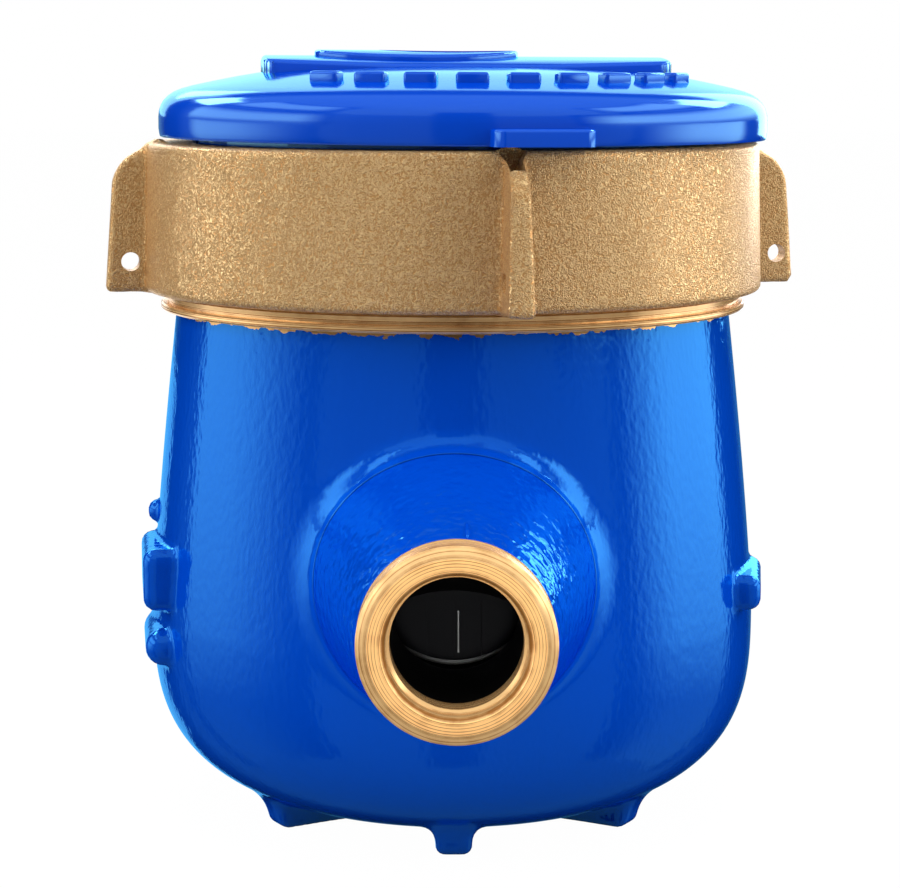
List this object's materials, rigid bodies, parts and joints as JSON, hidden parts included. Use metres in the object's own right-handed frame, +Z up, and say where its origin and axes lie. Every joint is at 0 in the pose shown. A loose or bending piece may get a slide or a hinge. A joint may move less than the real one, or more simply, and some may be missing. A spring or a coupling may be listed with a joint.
{
  "type": "water meter",
  "caption": "Round-bellied blue cast water meter with coned inlet and outlet spuds, a brass head ring with sealing lugs and a hinged blue lid over its dial.",
  "frame": {"origin": "on the vessel's vertical axis, at the level of the feet's soles", "axes": "+Z up along the vessel's axis, Y along the pipe line with the inlet spud towards -Y and the outlet spud towards +Y"},
  "size_m": [0.11, 0.17, 0.1209],
  "materials": {
    "blue_paint": "thick glossy blue enamel over cast brass, slightly orange-peeled",
    "cast_brass": "as-cast sand-grained brass",
    "blue_plastic": "smooth glossy moulded blue plastic",
    "black_plastic": "black moulded plastic",
    "white_plastic": "white moulded plastic",
    "red_plastic": "red moulded pointer",
    "steel": "ground stainless pin",
    "rubber": "black rubber gasket",
    "glass": "clear toughened lens",
    "magnet": "sintered ferrite magnet"
  },
  "bodies": {
    "root": {"meter_body": "blue_paint", "strainer_basket": "black_plastic", "measuring_chamber": "white_plastic", "pivot_pin": "steel", "chamber_cover": "white_plastic", "main_seal": "rubber", "pressure_plate": "black_plastic", "register_housing": "black_plastic", "dial_plate": "white_plastic", "drum_shaft": "steel", "lens": "glass", "register_shroud": "blue_plastic", "slip_washer": "black_plastic", "head_ring": "cast_brass"},
    "lid": {"lid": "blue_plastic", "hinge_pin": "steel"},
    "impeller": {"impeller": "white_plastic", "drive_magnet": "magnet"},
    "magnet_follower": {"magnet_follower": "magnet"},
    "wheel_a": {"wheel_a": "white_plastic"},
    "wheel_b": {"wheel_b": "white_plastic"},
    "pointer_hundreds": {"pointer_hundreds": "red_plastic"},
    "pointer_tens": {"pointer_tens": "red_plastic"},
    "pointer_units": {"pointer_units": "red_plastic"},
    "number_drum_1": {"number_drum_1": "black_plastic"},
    "number_drum_2": {"number_drum_2": "black_plastic"},
    "number_drum_3": {"number_drum_3": "black_plastic"},
    "number_drum_4": {"number_drum_4": "black_plastic"},
    "number_drum_5": {"number_drum_5": "black_plastic"}
  },
  "joints": [
    {"name": "lid_hinge", "type": "hinge", "parent": "root", "child": "lid", "pos_m": [-0.00974, 0.04921, 0.1109], "axis": [-0.9744, -0.2249, 0.0061], "range_deg": [0, 115]},
    {"name": "impeller_spin", "type": "hinge", "parent": "root", "child": "impeller", "pos_m": [0, 0, 0], "axis": [0, 0, 1], "continuous": true},
    {"name": "magnet_follower_spin", "type": "hinge", "parent": "root", "child": "magnet_follower", "pos_m": [0, 0, 0], "axis": [0, 0, 1], "continuous": true},
    {"name": "wheel_a_spin", "type": "hinge", "parent": "root", "child": "wheel_a", "pos_m": [0.00771, -0.00312, 0], "axis": [0, 0, 1], "continuous": true},
    {"name": "wheel_b_spin", "type": "hinge", "parent": "root", "child": "wheel_b", "pos_m": [0.01543, -0.00623, 0], "axis": [0, 0, 1], "continuous": true},
    {"name": "pointer_hundreds_spin", "type": "hinge", "parent": "root", "child": "pointer_hundreds", "pos_m": [0.0065, -0.01532, 0], "axis": [0, 0, 1], "continuous": true},
    {"name": "pointer_tens_spin", "type": "hinge", "parent": "root", "child": "pointer_tens", "pos_m": [-0.00623, -0.01543, 0], "axis": [0, 0, 1], "continuous": true},
    {"name": "pointer_units_spin", "type": "hinge", "parent": "root", "child": "pointer_units", "pos_m": [-0.01532, -0.0065, 0], "axis": [0, 0, 1], "continuous": true},
    {"name": "number_drum_1_spin", "type": "hinge", "parent": "root", "child": "number_drum_1", "pos_m": [-0.01211, 0.01157, 0.0929], "axis": [0.9744, 0.225, 0], "continuous": true},
    {"name": "number_drum_2_spin", "type": "hinge", "parent": "root", "child": "number_drum_2", "pos_m": [-0.00763, 0.01261, 0.0929], "axis": [0.9744, 0.225, 0], "continuous": true},
    {"name": "number_drum_3_spin", "type": "hinge", "parent": "root", "child": "number_drum_3", "pos_m": [-0.00315, 0.01364, 0.0929], "axis": [0.9744, 0.225, 0], "continuous": true},
    {"name": "number_drum_4_spin", "type": "hinge", "parent": "root", "child": "number_drum_4", "pos_m": [0.00133, 0.01468, 0.0929], "axis": [0.9744, 0.225, 0], "continuous": true},
    {"name": "number_drum_5_spin", "type": "hinge", "parent": "root", "child": "number_drum_5", "pos_m": [0.00581, 0.01571, 0.0929], "axis": [0.9744, 0.225, 0], "continuous": true}
  ],
  "couplings": [
    {"joint": "magnet_follower_spin", "follows": "impeller_spin", "ratio": 1},
    {"joint": "wheel_a_spin", "follows": "impeller_spin", "ratio": -0.33333},
    {"joint": "wheel_b_spin", "follows": "impeller_spin", "ratio": 0.11111},
    {"joint": "pointer_hundreds_spin", "follows": "impeller_spin", "ratio": 0.011111},
    {"joint": "pointer_tens_spin", "follows": "impeller_spin", "ratio": 0.0011111},
    {"joint": "pointer_units_spin", "follows": "impeller_spin", "ratio": 0.00011111}
  ]
}
